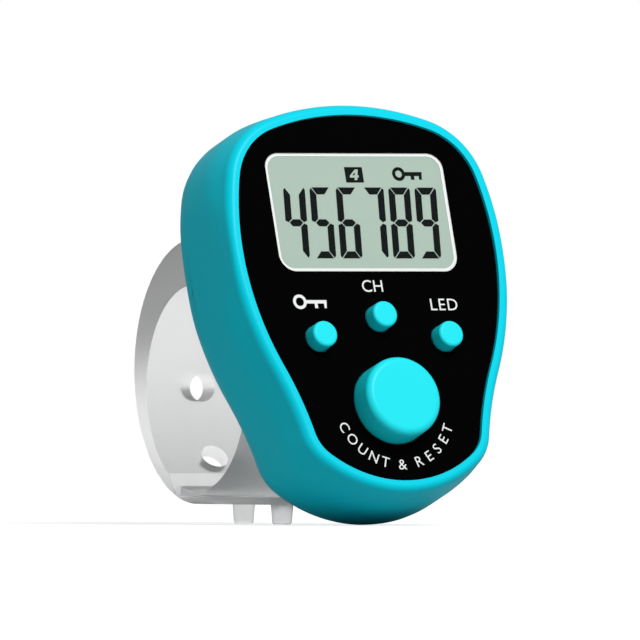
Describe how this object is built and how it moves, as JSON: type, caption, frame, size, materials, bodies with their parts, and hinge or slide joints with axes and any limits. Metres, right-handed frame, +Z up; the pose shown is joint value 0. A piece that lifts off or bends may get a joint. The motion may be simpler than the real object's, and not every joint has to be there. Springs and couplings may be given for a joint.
{
  "type": "hand tally counter",
  "caption": "Finger-ring electronic tally counter: a lens-shaped glossy case with display and push keys on a translucent adjustable ring with a pegged strap.",
  "frame": {"origin": "centre of the finger bore, half way along it", "axes": "+X along the finger bore towards the display's right-hand side; +Z up as the counter stands on its chin and pegs; the display faces -Y and leans back 18.2 degrees"},
  "size_m": [0.032, 0.0471, 0.0428],
  "materials": {
    "case_plastic": "glossy moulded",
    "key_plastic": "glossy moulded",
    "panel_plastic": "gloss black",
    "clear_window": "clear polished",
    "lcd_glass": "grey-green reflective display",
    "light_guide": "translucent",
    "elastomer": "soft matte",
    "led_package": "gloss",
    "white_plastic": "matte",
    "board_laminate": "satin",
    "black_resin": "matte",
    "capacitor_ceramic": "matte",
    "steel": "plated",
    "cell_steel": "polished",
    "contact_steel": "bright",
    "ring_plastic": "soft translucent"
  },
  "bodies": {
    "case": {"front_housing": "case_plastic", "rear_cover": "case_plastic", "face_panel": "panel_plastic", "display_window": "clear_window", "lcd_front_glass": "lcd_glass", "lcd_rear_glass": "lcd_glass", "light_guide": "light_guide", "zebra_strip": "elastomer", "backlight_led_left": "led_package", "backlight_led_right": "led_package", "display_frame": "white_plastic", "circuit_board": "board_laminate", "controller_chip": "black_resin", "clock_crystal": "steel", "filter_capacitor": "capacitor_ceramic", "count_switch": "black_resin", "channel_switch": "black_resin", "lock_switch": "black_resin", "led_switch": "black_resin", "coin_cell": "cell_steel", "negative_spring": "contact_steel", "positive_clip": "contact_steel", "cover_screw_upper_left": "steel", "cover_screw_upper_right": "steel", "cover_screw_lower_left": "steel", "cover_screw_lower_right": "steel", "board_screw_left": "steel", "board_screw_right": "steel", "ring_base": "ring_plastic", "finger_band": "ring_plastic"},
    "count_key": {"count_button": "key_plastic", "count_plunger": "white_plastic"},
    "channel_key": {"channel_button": "key_plastic", "channel_plunger": "white_plastic"},
    "lock_key": {"lock_button": "key_plastic", "lock_plunger": "white_plastic"},
    "led_key": {"led_button": "key_plastic", "led_plunger": "white_plastic"},
    "tail": {"band_tail": "ring_plastic"}
  },
  "joints": [
    {"name": "count_press", "type": "slide", "parent": "case", "child": "count_key", "axis": [0, 0.95, -0.3123], "range_m": [0, 0.0004], "stiffness_N_per_m": 400, "springref_m": -0.0005},
    {"name": "channel_press", "type": "slide", "parent": "case", "child": "channel_key", "axis": [0, 0.95, -0.3123], "range_m": [0, 0.0003], "stiffness_N_per_m": 200, "springref_m": -0.0005},
    {"name": "lock_press", "type": "slide", "parent": "case", "child": "lock_key", "axis": [0, 0.95, -0.3123], "range_m": [0, 0.0003], "stiffness_N_per_m": 200, "springref_m": -0.0005},
    {"name": "led_press", "type": "slide", "parent": "case", "child": "led_key", "axis": [0, 0.95, -0.3123], "range_m": [0, 0.0003], "stiffness_N_per_m": 200, "springref_m": -0.0005},
    {"name": "strap_release", "type": "hinge", "parent": "case", "child": "tail", "pos_m": [0, 0.01, -0.0115], "axis": [1, 0, 0], "range_deg": [0, 45], "stiffness_Nm_per_rad": 0.002, "springref_deg": -2.86}
  ]
}
